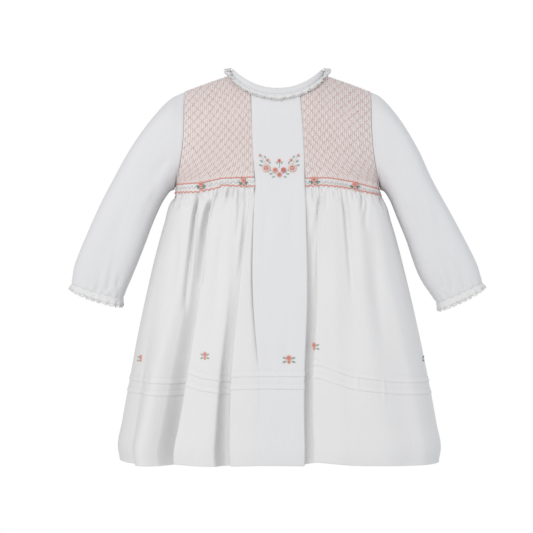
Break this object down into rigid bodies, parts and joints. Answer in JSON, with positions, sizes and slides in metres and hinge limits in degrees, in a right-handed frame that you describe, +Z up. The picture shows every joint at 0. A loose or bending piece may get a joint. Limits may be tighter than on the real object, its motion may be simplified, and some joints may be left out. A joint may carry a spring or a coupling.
{
  "type": "toddler dress",
  "caption": "Long-sleeved toddler dress in white cotton with smocked side fronts, a plain embroidered centre panel and a full pin-tucked skirt, hollow and filled out as worn.",
  "frame": {"origin": "Midway between the two points where the shoulder seams meet the neck, where the wearer's shoulders hold the dress.", "axes": "+X to the right as one looks at the front, +Y from front to back, +Z up."},
  "size_m": [0.5032, 0.1884, 0.4702],
  "materials": {
    "white_cotton": "matte woven cotton lawn",
    "smocked_cotton": "matte woven cotton, smocked in pink thread",
    "cotton_lace": "fine cotton lace",
    "button_shell": "pearly shell"
  },
  "bodies": {
    "root": {"front_center": "white_cotton", "front_left": "smocked_cotton", "front_right": "smocked_cotton", "back_left": "white_cotton", "back_right": "white_cotton", "skirt_back": "white_cotton", "sleeve_left": "white_cotton", "sleeve_right": "white_cotton", "cuff_frill_left": "cotton_lace", "cuff_frill_right": "cotton_lace", "neck_band": "white_cotton", "neck_frill": "cotton_lace", "back_placket": "white_cotton", "button_1": "button_shell", "button_2": "button_shell", "button_3": "button_shell", "button_4": "button_shell"}
  },
  "joints": []
}
